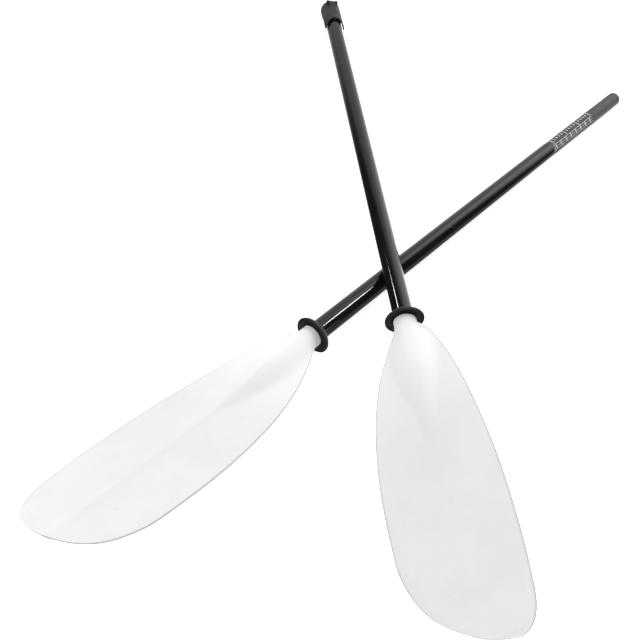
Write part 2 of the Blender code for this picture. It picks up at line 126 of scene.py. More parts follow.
# ---------------------------------------------------------------- where each half lies
def half_frame(shaft_node, joint_name, shaft_start, shaft_end):
    """The half's frame: its shaft's middle comes from the model, its direction from a joint."""
    low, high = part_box(shaft_node)
    joint = next(j for j in frame["joints"] if j["name"] == joint_name)
    along = Vector(joint["axis"]).normalized()
    side = along.cross(UP).normalized()
    up = side.cross(along)
    origin = (low + high) / 2 - along * (shaft_start + shaft_end) / 2
    lay = Matrix((side, along, up)).transposed().to_4x4()
    lay.translation = origin
    return lay


LEFT = half_frame("left_shaft", "left_ring_slide", -INSERT_DEPTH, LEFT_SHAFT_LENGTH)
RIGHT = half_frame("right_shaft", "right_ring_slide", -INSERT_DEPTH, TUBE_END)


# ---------------------------------------------------------------- shader helpers
class Nodes:
    """Adds and links nodes in one tree, with short calls."""

    def __init__(self, tree):
        self.tree = tree

    def add(self, kind, **settings):
        inputs = settings.pop("inputs", {})
        node = self.tree.nodes.new("ShaderNode" + kind)
        for name, value in settings.items():
            setattr(node, name, value)
        for name, value in inputs.items():
            if isinstance(value, bpy.types.NodeSocket):
                self.tree.links.new(value, node.inputs[name])
            else:
                node.inputs[name].default_value = value
        return node

    def place(self, scale=(1, 1, 1), turn=(0, 0, 0)):
        """Object coordinates through a Mapping node."""
        where = self.add("TexCoord")
        mapping = self.add("Mapping", inputs={"Vector": where.outputs["Object"]})
        mapping.inputs["Scale"].default_value = scale
        mapping.inputs["Rotation"].default_value = turn
        return mapping.outputs["Vector"]

    def noise(self, where, scale, detail=3.0, roughness=0.55):
        """Smooth noise; a larger scale makes finer patches."""
        return self.add("TexNoise", inputs={"Vector": where, "Scale": scale, "Detail": detail,
                                            "Roughness": roughness}).outputs["Fac"]

    def remap(self, value, low, high, to_low=0.0, to_high=1.0):
        """Eases a value from one range to another and holds it at both ends."""
        return self.add("MapRange", interpolation_type="SMOOTHSTEP", inputs={
            "Value": value, "From Min": low, "From Max": high,
            "To Min": to_low, "To Max": to_high}).outputs["Result"]

    def patches(self, scale, detail, to_low=0.0, to_high=1.0):
        """Soft patches over the piece, from the low value to the high one."""
        return self.remap(self.noise(self.place(), scale, detail), 0.3, 0.7, to_low, to_high)

    def maths(self, operation, first, second):
        return self.add("Math", operation=operation,
                        inputs={0: first, 1: second}).outputs["Value"]

    def blend(self, factor, first, second):
        """Mixes two colours; the Mix node's colour sockets are found by their numbers."""
        node = self.add("Mix", data_type="RGBA")
        for socket, value in ((0, factor), (6, first), (7, second)):
            if isinstance(value, bpy.types.NodeSocket):
                self.tree.links.new(value, node.inputs[socket])
            else:
                node.inputs[socket].default_value = value
        return node.outputs[2]

    def bump(self, height, strength, distance):
        return self.add("Bump", inputs={"Height": height, "Strength": strength,
                                        "Distance": distance}).outputs["Normal"]


def shader_group(name, inputs, outputs):
    """An empty node group with named sockets."""
    tree = bpy.data.node_groups.new(name, "ShaderNodeTree")
    for socket, value in inputs:
        made = tree.interface.new_socket(socket, in_out="INPUT", socket_type="NodeSocketFloat")
        made.default_value = value
    for socket in outputs:
        tree.interface.new_socket(socket, in_out="OUTPUT", socket_type="NodeSocketFloat")
    return tree, tree.nodes.new("NodeGroupInput"), tree.nodes.new("NodeGroupOutput")


def make_scuffs_group():
    """Hairline scratches and rubbed patches, from use on the water."""
    tree, enter, leave = shader_group("use_scuffs", (("Scale", 1.0), ("Amount", 0.5)),
                                      ("Scratches", "Rubbed"))
    nodes = Nodes(tree)
    scratches = None
    for turn, stretch in ((0.4, 26.0), (2.1, 34.0)):
        where = nodes.place(scale=(1.0, stretch, stretch), turn=(0.3, 0.2, turn))
        scaled = nodes.add("VectorMath", operation="SCALE", inputs={0: where})
        tree.links.new(enter.outputs["Scale"], scaled.inputs["Scale"])
        line = nodes.remap(nodes.noise(scaled.outputs["Vector"], 9.0, 2.0), 0.70, 0.74)
        scratches = line if scratches is None else nodes.maths("MAXIMUM", scratches, line)
    broken = nodes.remap(nodes.noise(nodes.place(), 30.0, 2.0), 0.50, 0.62)
    faint = nodes.maths("MULTIPLY", nodes.maths("MULTIPLY", scratches, broken),
                        enter.outputs["Amount"])
    rubbed = nodes.remap(nodes.noise(nodes.place(), 14.0, 5.0, 0.65), 0.42, 0.68)
    tree.links.new(faint, leave.inputs["Scratches"])
    tree.links.new(nodes.maths("MULTIPLY", rubbed, enter.outputs["Amount"]),
                   leave.inputs["Rubbed"])
    return tree


def make_grain_group():
    """The fine pebble that a textured mould leaves."""
    tree, enter, leave = shader_group("mould_grain", (("Scale", 900.0),), ("Height",))
    nodes = Nodes(tree)
    where = nodes.place()
    fine = nodes.add("TexNoise", inputs={"Vector": where, "Detail": 3.0})
    cells = nodes.add("TexVoronoi", inputs={"Vector": where})
    for node in (fine, cells):
        tree.links.new(enter.outputs["Scale"], node.inputs["Scale"])
    height = nodes.maths("ADD", fine.outputs["Fac"], cells.outputs["Distance"])
    tree.links.new(height, leave.inputs["Height"])
    return tree


SCUFFS = make_scuffs_group()
GRAIN = make_grain_group()


def use_group(nodes, tree, **values):
    """Places a shader group in a material with its own values."""
    node = nodes.tree.nodes.new("ShaderNodeGroup")
    node.node_tree = tree
    for name, value in values.items():
        node.inputs[name].default_value = value
    return node


def start_material(name, **constants):
    """A material and its node helper; constants are set on the shader's own sockets."""
    material = bpy.data.materials.new(name)
    material.use_nodes = True
    shader = material.node_tree.nodes["Principled BSDF"]
    for socket, value in constants.items():
        shader.inputs[socket.replace("_", " ")].default_value = value
    return material, Nodes(material.node_tree), shader


def wire(nodes, shader, **sources):
    """Links colours, values and normals that vary over the piece to its shader."""
    for socket, source in sources.items():
        nodes.tree.links.new(source, shader.inputs[socket.replace("_", " ")])


def grey(value):
    """A neutral grey, a touch towards blue."""
    return (value, value, value * 1.01, 1)


# ---------------------------------------------------------------- finishes
def white_blade_plastic():
    """Satin, slightly cloudy white plastic; its thin rim is painted greyer than its face, as
    painted shade on the blade's edge.
    """
    material, nodes, shader = start_material("white_blade_plastic", IOR=1.49)
    clouds = nodes.remap(nodes.noise(nodes.place(), 16.0, 4.0, 0.6), 0.34, 0.68)
    flecks = nodes.remap(nodes.noise(nodes.place(), 240.0, 2.0), 0.30, 0.70)
    tone = nodes.maths("ADD", nodes.maths("MULTIPLY", clouds, 0.75),
                       nodes.maths("MULTIPLY", flecks, 0.25))
    thin = nodes.blend(tone, (0.712, 0.717, 0.720, 1), (0.748, 0.752, 0.755, 1))
    thick = nodes.add("Attribute", attribute_name="thick").outputs["Fac"]
    face = nodes.blend(thick, thin, (0.845, 0.850, 0.852, 1))
    # the rim weight darkens the colour towards grey: painted shade along the blade's edge
    rim = nodes.add("Attribute", attribute_name="rim").outputs["Fac"]
    colour = nodes.blend(nodes.remap(rim, 0.15, 0.95, 0.0, 0.85), face, grey(0.46))
    scuffs = use_group(nodes, SCUFFS, Scale=1.0, Amount=0.6)
    worn = nodes.blend(scuffs.outputs["Scratches"], colour, grey(0.62))
    rough = nodes.patches(60.0, 3.0, 0.36, 0.50)
    rubbed = nodes.maths("MULTIPLY", scuffs.outputs["Rubbed"], 0.10)
    rougher = nodes.maths("ADD", rough, rubbed)
    grain = use_group(nodes, GRAIN, Scale=700.0)
    wire(nodes, shader, Base_Color=worn, Roughness=rougher,
         Normal=nodes.bump(grain.outputs["Height"], 0.10, 0.0002))
    return material


def gloss_black_lacquer():
    """Black lacquer over a drawn tube: near mirror, with the odd hairline."""
    material, nodes, shader = start_material("gloss_black_lacquer", IOR=1.50)
    scuffs = use_group(nodes, SCUFFS, Scale=1.0, Amount=0.8)
    tone = nodes.patches(20.0, 3.0)
    base = nodes.blend(tone, grey(0.0050), grey(0.0080))
    colour = nodes.blend(scuffs.outputs["Scratches"], base, grey(0.045))
    rough = nodes.patches(9.0, 4.0, 0.07, 0.12)
    rubbed = nodes.maths("MULTIPLY", scuffs.outputs["Rubbed"], 0.05)
    rougher = nodes.maths("ADD", rough, rubbed)
    peel = nodes.noise(nodes.place(), 420.0, 2.0)
    wire(nodes, shader, Base_Color=colour, Roughness=rougher,
         Normal=nodes.bump(peel, 0.04, 0.0002))
    return material


def black_rubber():
    """Matt black rubber with a little bloom where it is rubbed."""
    material, nodes, shader = start_material("black_rubber", Specular_IOR_Level=0.45)
    scuffs = use_group(nodes, SCUFFS, Scale=1.5, Amount=0.7)
    speckle = nodes.remap(nodes.noise(nodes.place(), 600.0, 2.0), 0.35, 0.70)
    base = nodes.blend(speckle, grey(0.011), grey(0.019))
    colour = nodes.blend(scuffs.outputs["Rubbed"], base, grey(0.026))
    rough = nodes.patches(80.0, 3.0, 0.42, 0.58)
    grain = use_group(nodes, GRAIN, Scale=1100.0)
    wire(nodes, shader, Base_Color=colour, Roughness=rough,
         Normal=nodes.bump(grain.outputs["Height"], 0.22, 0.0002))
    return material


def moulded_plastic(name, dark, light, rough_low, rough_high):
    """Grey glass-filled plastic with a fine mould texture, paler where hands rub it."""
    material, nodes, shader = start_material(name, IOR=1.5)
    scuffs = use_group(nodes, SCUFFS, Scale=1.3, Amount=0.8)
    mottle = nodes.remap(nodes.noise(nodes.place(), 130.0, 4.0), 0.32, 0.70)
    base = nodes.blend(mottle, grey(dark), grey(light))
    rubbed = nodes.blend(scuffs.outputs["Rubbed"], base, grey(light * 1.15))
    colour = nodes.blend(scuffs.outputs["Scratches"], rubbed, grey(light * 1.8))
    rough = nodes.patches(70.0, 3.0, rough_low, rough_high)
    grain = use_group(nodes, GRAIN, Scale=950.0)
    wire(nodes, shader, Base_Color=colour, Roughness=rough,
         Normal=nodes.bump(grain.outputs["Height"], 0.30, 0.0002))
    return material


def white_print():
    """Screen-printed white ink, thin and slightly patchy."""
    material, nodes, shader = start_material("white_print", IOR=1.45)
    patches = nodes.remap(nodes.noise(nodes.place(), 700.0, 3.0), 0.38, 0.62)
    colour = nodes.blend(patches, grey(0.80), grey(0.92))
    rough = nodes.patches(300.0, 2.0, 0.45, 0.60)
    wire(nodes, shader, Base_Color=colour, Roughness=rough)
    return material


def grey_foam():
    """Closed-cell float foam."""
    material, nodes, shader = start_material("grey_foam")
    cells = nodes.add("TexVoronoi", inputs={"Vector": nodes.place(), "Scale": 900.0})
    tone = nodes.remap(cells.outputs["Distance"], 0.1, 0.7)
    rough = nodes.patches(200.0, 3.0, 0.86, 0.96)
    wire(nodes, shader, Base_Color=nodes.blend(tone, grey(0.16), grey(0.27)), Roughness=rough,
         Normal=nodes.bump(cells.outputs["Distance"], 0.5, 0.0004))
    return material


def stainless_steel():
    """Turned stainless steel for the pin and rivets."""
    material, nodes, shader = start_material("stainless_steel", Metallic=1.0)
    lines = nodes.noise(nodes.place(scale=(0.2, 1.0, 1.0)), 1600.0, 2.0)
    tone = nodes.blend(nodes.remap(lines, 0.3, 0.7), grey(0.46), grey(0.62))
    wire(nodes, shader, Base_Color=tone,
         Roughness=nodes.remap(lines, 0.3, 0.7, 0.24, 0.40),
         Normal=nodes.bump(lines, 0.10, 0.0001))
    return material


FINISHES = {
    "blade": white_blade_plastic(),
    "shaft": gloss_black_lacquer(),
    "rubber": black_rubber(),
    "foam": grey_foam(),
    "ferrule": moulded_plastic("ferrule_grey_plastic", 0.032, 0.046, 0.38, 0.50),
    "clamp": moulded_plastic("clamp_grey_plastic", 0.022, 0.034, 0.48, 0.62),
    "scale": moulded_plastic("scale_film", 0.022, 0.032, 0.40, 0.50),
    "print": white_print(),
    "steel": stainless_steel(),
}


# ---------------------------------------------------------------- mesh helpers
def turned(profile, sides=TUBE_SIDES, closed=True):
    """Turns a (y, radius) profile about the shaft's axis; a closed one joins up with itself."""
    bm = bmesh.new()
    verts = [bm.verts.new((0, y, r)) for y, r in profile]
    edges = [bm.edges.new((verts[i - 1], verts[i]))
             for i in range(0 if closed else 1, len(verts))]
    bmesh.ops.spin(bm, geom=verts + edges, cent=(0, 0, 0), axis=(0, 1, 0), angle=math.tau,
                   steps=sides, use_merge=True, use_duplicate=False)
    return bm


def solid_turned(profile, sides=TUBE_SIDES):
    """Turns an open (y, radius) profile and closes both its ends."""
    bm = turned(profile, sides, closed=False)
    rim = [edge for edge in bm.edges if edge.is_boundary]
    bmesh.ops.holes_fill(bm, edges=rim, sides=0)
    return bm


def tube(y_start, y_end, outer, inner):
    """A plain tube with square ends."""
    return turned(((y_start, outer), (y_end, outer), (y_end, inner), (y_start, inner)))


def soften(bm, width, segments=2, angle=35):
    """Rounds every edge sharper than the angle."""
    bmesh.ops.recalc_face_normals(bm, faces=bm.faces)
    limit = math.radians(angle)
    edges = [e for e in bm.edges if len(e.link_faces) == 2 and e.calc_face_angle(0) > limit]
    bmesh.ops.bevel(bm, geom=edges, offset=width, offset_type="OFFSET", affect="EDGES",
                    segments=segments, profile=0.5, material=-1, clamp_overlap=True)
    return bm


def box(low, high):
    """A block between two corners."""
    bm = bmesh.new()
    size = [b - a for a, b in zip(low, high)]
    middle = [(a + b) / 2 for a, b in zip(low, high)]
    bmesh.ops.create_cube(bm, size=1,
                          matrix=Matrix.Translation(middle) @ Matrix.Diagonal((*size, 1)))
    return bm


def rod(radius, start, end, sides=48):
    """A closed cylinder between two points."""
    bm = bmesh.new()
    start = Vector(start)
    end = Vector(end)
    turn = (end - start).to_track_quat("Z", "Y").to_matrix().to_4x4()
    bmesh.ops.create_cone(bm, cap_ends=True, segments=sides, radius1=radius, radius2=radius,
                          depth=(end - start).length,
                          matrix=Matrix.Translation((start + end) / 2) @ turn)
    return bm


def side_extruded(outline, half_width):
    """Extrudes a side view (y, z) outline to both sides of the middle plane."""
    bm = bmesh.new()
    face = bm.faces.new([bm.verts.new((-half_width, y, z)) for y, z in outline])
    moved = bmesh.ops.extrude_face_region(bm, geom=[face])["geom"]
    points = [item for item in moved if isinstance(item, bmesh.types.BMVert)]
    bmesh.ops.translate(bm, verts=points, vec=(2 * half_width, 0, 0))
    bmesh.ops.recalc_face_normals(bm, faces=bm.faces)
    return bm


def temporary(bm):
    """A short-lived object that holds a solid while it is carved."""
    bmesh.ops.recalc_face_normals(bm, faces=bm.faces)
    mesh = bpy.data.meshes.new("scratch")
    bm.to_mesh(mesh)
    bm.free()
    obj = bpy.data.objects.new("scratch", mesh)
    bpy.context.scene.collection.objects.link(obj)
    return obj


def carve(bm, steps):
    """Cuts with, or joins, each (operation, solid) in turn and returns the new solid."""
    body = temporary(bm)
    tools = []
    for operation, solid in steps:
        tool = temporary(solid)
        cut = body.modifiers.new("carve", "BOOLEAN")
        cut.operation = operation
        cut.object = tool
        cut.solver = "EXACT"
        tools.append(tool)
    graph = bpy.context.evaluated_depsgraph_get()
    result = bmesh.new()
    result.from_mesh(body.evaluated_get(graph).to_mesh())
    for obj in [body, *tools]:
        mesh = obj.data
        bpy.data.objects.remove(obj)
        bpy.data.meshes.remove(mesh)
    bmesh.ops.remove_doubles(result, verts=result.verts, dist=1e-6)
    bmesh.ops.dissolve_limit(result, angle_limit=math.radians(0.5), verts=result.verts,
                             edges=result.edges)
    return result


def place_piece(bm, name, lay, body, slot, finish=None, replaces=(), smooth_angle=38):
    """Lays a finished bmesh down in the model's frame as a named piece on its body."""
    bmesh.ops.recalc_face_normals(bm, faces=bm.faces)
    bm.transform(lay)
    mesh = bpy.data.meshes.new(name)
    bm.to_mesh(mesh)
    bm.free()
    mesh.materials.append(FINISHES[finish or slot])
    mesh.shade_smooth()
    mesh.set_sharp_from_angle(angle=math.radians(smooth_angle))
    piece = bpy.data.objects.new(name, mesh)
    bpy.context.scene.collection.objects.link(piece)
    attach(piece, body)
    if replaces:
        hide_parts(*replaces)
    return piece


# ---------------------------------------------------------------- blades
SPINE_CREST = 0.0005         # the fine line that stands on the spine
SPINE_HALF_WIDTH = 0.0030
SPINE_END_BACK = 0.0024      # the sunken spine's height above the middle of the wall
SPINE_END_FRONT = 0.0016
SPINE_FADE_BACK = 0.17       # length over which it sinks from the neck's radius
SPINE_FADE_FRONT = 0.13
SPINE_START = INSERT_DEPTH - NECK_LENGTH + 0.004
DIHEDRAL_START = 0.25        # shares of the blade over which the dihedral dies away
DIHEDRAL_END = 0.95
SHAPE_LENGTH = 0.045         # over which the curl and the dihedral grow in from the neck
RIM_SHADE_START = 0.0022           # the grey band of painted edge shade, measured in from the blade's edge
RIM_SHADE_FULL = 0.0004
THICK_START = 0.02           # the whiter, thicker plastic by the neck
THICK_END = 0.20
TIP_CUT = 0.06               # stops short of the last point, where the skin is closed
BLADE_ROWS = 132
FACE_COLUMNS = 26            # from the spine to the start of the rounded edge
EDGE_COLUMNS = 5             # round the edge
COLUMNS = FACE_COLUMNS + EDGE_COLUMNS
LAST_POINT = len(LONG_EDGE) - 1


def ease(value, start, end):
    """Rises smoothly from 0 at the start to 1 at the end."""
    t = min(max((value - start) / (end - start), 0), 1)
    return t * t * (3 - 2 * t)


def smooth_curve(points, place):
    """Catmull-Rom curve through the points; place runs from 0 to the last point's number."""
    last = len(points) - 1
    i = min(int(place), last - 1)
    t = place - i
    a, b = Vector(points[i]), Vector(points[i + 1])
    before, after = Vector(points[max(i - 1, 0)]), Vector(points[min(i + 2, last)])
    slope_a = (b - before) / (2 if i > 0 else 1)
    slope_b = (after - a) / 2
    if i + 1 == last:
        slope_b = Vector((0, TIP_ROUNDING * (b - a).y))         # straight across at the tip
    return (a * (2 * t**3 - 3 * t**2 + 1) + slope_a * (t**3 - 2 * t**2 + t)
            + b * (3 * t**2 - 2 * t**3) + slope_b * (t**3 - t**2))


def blade_middle(station, offset):
    """Height of the middle of the blade's wall: spoon curl and dihedral."""
    along = station / BLADE_LENGTH
    curl = BLADE_SPOON * max(along, 0)**2
    fall = BLADE_DIHEDRAL * abs(offset) * (1 - ease(along, DIHEDRAL_START, DIHEDRAL_END))
    return (curl - fall) * ease(station, 0, SHAPE_LENGTH)


def blade_half_thickness(station, offset, back):
    """Half the wall, with the raised spine that grows into the round neck."""
    flare = ease(station, -0.001, 0.040)
    edge = BLADE_EDGE / 2 * flare
    fade = ease(station, SPINE_START,
                SPINE_START + (SPINE_FADE_BACK if back else SPINE_FADE_FRONT))
    spine_end = SPINE_END_BACK if back else SPINE_END_FRONT
    height = NECK_RADIUS * (1 - fade) + spine_end * fade
    width = NECK_RADIUS * (1 + 1.2 * flare - 1.5 * fade)
    share = max(1 - (offset / width)**2, 0)
    crest = SPINE_CREST * max(1 - abs(offset) / SPINE_HALF_WIDTH, 0)
    crest *= ease(station, 0.03, 0.09) * (1 - ease(station, 0.86 * BLADE_LENGTH, BLADE_LENGTH))
    return edge + (height - edge) * share**(0.5 + 1.5 * flare) + crest


def blade_point(place, column, side, back):
    """A point of the blade's skin, and how close it is to the rim, which sets its painted edge
    shade.
    """
    long_edge = smooth_curve(LONG_EDGE, place)
    short_edge = smooth_curve(SHORT_EDGE, place)
    long_end = Vector((NECK_RADIUS + long_edge[1] * BLADE_WIDTH, long_edge[0] * BLADE_LENGTH))
    short_end = Vector((-NECK_RADIUS - short_edge[1] * BLADE_WIDTH,
                        short_edge[0] * BLADE_LENGTH))
    tip_offset = NECK_RADIUS + LONG_EDGE[-1][1] * BLADE_WIDTH
    spine = Vector((tip_offset * ease(place, LAST_POINT - 2, LAST_POINT),
                    (long_end.y + short_end.y) / 2))
    end = long_end if side > 0 else short_end
    flare = ease(place, 0, 2.5)
    edge_share = min(BLADE_EDGE / 2 / max((end - spine).length, 1e-6), 0.45)
    if column <= FACE_COLUMNS:
        blade_share = (1 - edge_share) * column / FACE_COLUMNS
        roundness = 1.0
    else:
        turn = (column - FACE_COLUMNS) / EDGE_COLUMNS * math.pi / 2
        blade_share = 1 - edge_share * (1 - math.sin(turn))
        roundness = math.cos(turn)
    neck_share = math.sin(column / COLUMNS * math.pi / 2)
    share = (1 - flare) * neck_share + flare * blade_share
    roundness = 1 - flare * (1 - roundness)
    offset, station = spine.lerp(end, share)
    height = blade_half_thickness(station, offset, back) * roundness
    if column == COLUMNS:
        height = 0.0
    middle = blade_middle(station, offset)
    reach = (end - spine).length
    # the weight of the painted shade on the rim, rising towards the blade's edge
    rim = ease(share * reach, reach - RIM_SHADE_START, reach - RIM_SHADE_FULL) * flare
    return Vector((offset, station, middle - height if back else middle + height)), rim


def make_blade(prefix, side, roll, lay, body):
    """A moulded tube, drawn out flat into a blade; side is +1 with the long edge on +X."""
    around = 4 * COLUMNS
    bm = bmesh.new()
    bmesh.ops.create_cone(bm, cap_ends=False, segments=around, radius1=1, radius2=1, depth=2)
    lengthwise = [e for e in bm.edges if abs(e.verts[0].co.z - e.verts[1].co.z) > 1]
    bmesh.ops.subdivide_edges(bm, edges=lengthwise, cuts=BLADE_ROWS - 1)
    # the rim layer carries the weight of the painted shade along the blade's edge
    rim_shade_layer = bm.verts.layers.float.new("rim")
    thick_layer = bm.verts.layers.float.new("thick")
    tip_place = LAST_POINT - TIP_CUT
    for vert in bm.verts:
        place = (vert.co.z + 1) / 2 * tip_place
        step = round(math.atan2(vert.co.y, vert.co.x) / math.tau * around) % around
        quarter, within = divmod(step, COLUMNS)
        column = COLUMNS - within if quarter in (0, 2) else within
        point, rim = blade_point(place, column, 1 if quarter in (0, 3) else -1, quarter > 1)
        vert.co = (side * point.x, -NECK_LENGTH - point.y, point.z)
        vert[rim_shade_layer] = rim
        vert[thick_layer] = 1 - ease(point.y, THICK_START, THICK_END)
    middle = -BLADE_LENGTH / 4                  # any station between the neck and the tip
    rim_loop = [e for e in bm.edges if e.is_boundary and e.verts[0].co.y > middle]
    tip = [e for e in bm.edges if e.is_boundary and e.verts[0].co.y < middle]
    bmesh.ops.holes_fill(bm, edges=tip, sides=0)
    for y, radius in ((0, None), (0, SEAT_RADIUS), (-INSERT_DEPTH - GAP, SEAT_RADIUS)):
        rim_loop = grow_rim(bm, rim_loop, y, radius)
    bmesh.ops.holes_fill(bm, edges=rim_loop, sides=0)
    bmesh.ops.rotate(bm, verts=bm.verts, cent=(0, 0, 0),
                     matrix=Matrix.Rotation(roll, 3, "Y"))
    place_piece(bm, prefix + "_blade_skin", lay, body, "blade",
                replaces=(prefix + "_blade",), smooth_angle=50)


def grow_rim(bm, edges, y, radius):
    """Extrudes an open rim to a new station and radius; returns the new rim."""
    made = bmesh.ops.extrude_edge_only(bm, edges=edges)["geom"]
    for vert in (item for item in made if isinstance(item, bmesh.types.BMVert)):
        out = Vector((vert.co.x, 0, vert.co.z))
        if radius is not None:
            out = out.normalized() * radius
        vert.co = (out.x, y, out.z)
    return [item for item in made if isinstance(item, bmesh.types.BMEdge) and item.is_boundary]


# ---------------------------------------------------------------- pieces on both halves
def add_rings(bm, stations):
    """Cuts edge loops into a long tube, so that its shading stays straight up to its ends."""
    for y in stations:
        bmesh.ops.bisect_plane(bm, geom=bm.verts[:] + bm.edges[:] + bm.faces[:],
                               plane_co=(0, y, 0), plane_no=(0, 1, 0))
    return bm


def make_shaft(prefix, shaft_end, lay, body):
    """The lacquered tube, from inside the blade's neck to its free end."""
    shaft = soften(tube(-INSERT_DEPTH, shaft_end, SHAFT_RADIUS, BORE_RADIUS), 0.00025)
    add_rings(shaft, (0.001 - INSERT_DEPTH, 0, shaft_end / 2, shaft_end - 0.001))
    place_piece(shaft, prefix + "_shaft_tube", lay, body, "shaft",
                replaces=(prefix + "_shaft",))


def make_drip_ring(prefix, lay, body):
    """A soft dish on a sleeve, with a rolled lip and a hollow between."""
    lip = RING_RADIUS
    back = GAP + RING_DEPTH
    profile = (
        (GAP, SEAT_RADIUS),
        (GAP, NECK_RADIUS + 0.0004),
        (GAP + 0.0016, NECK_RADIUS + 0.0006),
        (GAP + 0.0032, NECK_RADIUS + 0.0012),
        (GAP + 0.0044, NECK_RADIUS + 0.0030),
        (GAP + 0.0046, NECK_RADIUS + 0.0046),
        (GAP + 0.0042, lip - RING_WALL - 0.0034),
        (GAP + 0.0026, lip - RING_WALL - 0.0014),
        (GAP + 0.0004, lip - RING_WALL - 0.0002),
        (GAP - 0.0008, lip - RING_WALL + 0.0004),
        (GAP - 0.0010, lip - 0.0005),
        (GAP, lip),
        (GAP + 0.0012, lip),
        (GAP + 0.0028, lip - 0.0004),
        (GAP + 0.0052, lip - 0.0022),
        (back - 0.0006, lip - 0.0058),
        (back + 0.0001, NECK_RADIUS + 0.0034),
        (back + 0.0012, NECK_RADIUS + 0.0010),
        (back + 0.0034, NECK_RADIUS + 0.0001),
        (GAP + RING_LENGTH - 0.0008, NECK_RADIUS - 0.0001),
        (GAP + RING_LENGTH - 0.0001, NECK_RADIUS - 0.0005),
        (GAP + RING_LENGTH, NECK_RADIUS - 0.0009),
        (GAP + RING_LENGTH, SEAT_RADIUS),
    )
    ring = turned(profile, 64)
    piece = place_piece(ring, prefix + "_drip_dish", lay, body, "rubber",
                        replaces=(prefix + "_drip_ring",), smooth_angle=60)
    smooth = piece.modifiers.new("smooth", "SUBSURF")
    smooth.levels = smooth.render_levels = 1


def make_rivet(name, body, node, lay, y, angle, outer_radius):
    """A blind rivet with a domed head outside and its curled tail inside the tube."""
    tail = BORE_RADIUS - 0.0007
    seat = outer_radius + GAP
    profile = (
        (tail - 0.0012, 0.0025),
        (tail - 0.0003, 0.0028),
        (tail, 0.0020),
        (seat, 0.0020),
        (seat, 0.0036),
        (seat + 0.0004, 0.0036),
        (seat + 0.0008, 0.0031),
        (seat + 0.0011, 0.0022),
        (seat + 0.0012, 0.0012),
        (seat + 0.0008, 0.0010),
    )
    bm = solid_turned(profile, 40)
    turn = Matrix.Rotation(angle, 4, "Y") @ Matrix.Rotation(math.pi / 2, 4, "X")
    bm.transform(Matrix.Translation((0, y, 0)) @ turn)
    place_piece(bm, name, lay, body, "steel", replaces=(node,), smooth_angle=30)


def make_float_plug(prefix, lay, body):
    """The foam that keeps water out of the tube, just inside its blade end."""
    start = -INSERT_DEPTH + PLUG_INSET
    plug = solid_turned(((start, INNER_FIT), (start + PLUG_LENGTH, INNER_FIT)), 64)
    soften(plug, 0.0008)
    place_piece(plug, prefix + "_plug_foam", lay, body, "foam",
                replaces=(prefix + "_float_plug",))


# ---------------------------------------------------------------- ferrule on the left half
def make_ferrule():
    """The ferrule with a shallow seat for its scale film, the film, the cap and the print."""
    start = LEFT_SHAFT_LENGTH + GAP
    end = LEFT_SHAFT_LENGTH + FERRULE_LENGTH
    cap = end - CAP_FLANGE
    inner = FERRULE_RADIUS - FERRULE_WALL
    film = FERRULE_RADIUS - SCALE_THICKNESS
    scale_start = start + SCALE_START
    scale_end = scale_start + SCALE_LENGTH
    body = turned((
        (start - FERRULE_STUB, INNER_FIT),
        (start, INNER_FIT),
        (start, FERRULE_RADIUS),
        (scale_start - GAP, FERRULE_RADIUS),
        (scale_start - GAP, film - GAP),
        (scale_end + GAP, film - GAP),
        (scale_end + GAP, FERRULE_RADIUS),
        (cap - GAP, FERRULE_RADIUS),
        (cap - GAP, inner),
        (start - FERRULE_STUB, inner),
    ))
    soften(body, 0.00012)
    add_rings(body, (start - FERRULE_STUB + 0.001, start - 0.001, start + 0.001,
                     scale_start - GAP - 0.001, scale_start + 0.001, scale_end - 0.001,
                     scale_end + GAP + 0.001, cap - 0.001))
    place_piece(body, "ferrule_tube", LEFT, "left_half", "ferrule",
                replaces=("male_ferrule",))
    sleeve = soften(tube(scale_start, scale_end, FERRULE_RADIUS, film), 0.00008)
    add_rings(sleeve, (scale_start + 0.001, scale_end - 0.001))
    place_piece(sleeve, "scale_film_sleeve", LEFT, "left_half", "scale",
                replaces=("scale_sleeve",))
    spigot = inner * math.cos(math.pi / CAD_SIDES) - GAP
    end_cap = solid_turned((
        (cap - CAP_SPIGOT, spigot - 0.0005),
        (cap - CAP_SPIGOT + 0.001, spigot),
        (cap, spigot),
        (cap, FERRULE_RADIUS - 0.00007),
        (end - 0.0006, FERRULE_RADIUS - 0.00007),
        (end - 0.0002, FERRULE_RADIUS - 0.0002),
        (end, FERRULE_RADIUS - 0.0006),
        (end, FERRULE_RADIUS - 0.0040),
        (end - 0.0005, FERRULE_RADIUS - 0.0046),
    ))
    place_piece(end_cap, "ferrule_cap", LEFT, "left_half", "rubber",
                replaces=("ferrule_end_cap",))
    make_scale_print(scale_start)


INK = 0.00005                # how far the ink stands off the film
TICK = 0.0020                # width of a printed line
FIRST_MARK = 0.0030          # from the film's edge
MARK_PITCH = 0.0096
MARKS = 16
FIRST_NUMBER = 30
NUMBERED = 5                 # every fifth mark is longer and has a number
LENGTH_DIGITS = 0.0052
ANGLE_DIGITS = 0.0050
LADDER = (18, 37, 56)        # angles of the feather-angle lines
LADDER_HALF_WIDTH = 1.4      # in degrees


def ink_bar(bm, y_low, y_high, angle_low, angle_high, steps):
    """A printed bar on the film, from one angle to another; angles in degrees from the top."""
    made = bmesh.ops.create_grid(bm, x_segments=steps, y_segments=1, size=0.5)["verts"]
    for vert in made:
        angle = math.radians(angle_low + (vert.co.x + 0.5) * (angle_high - angle_low))
        y = y_low + (vert.co.y + 0.5) * (y_high - y_low)
        radius = FERRULE_RADIUS + INK
        vert.co = (radius * math.sin(angle), y, radius * math.cos(angle))


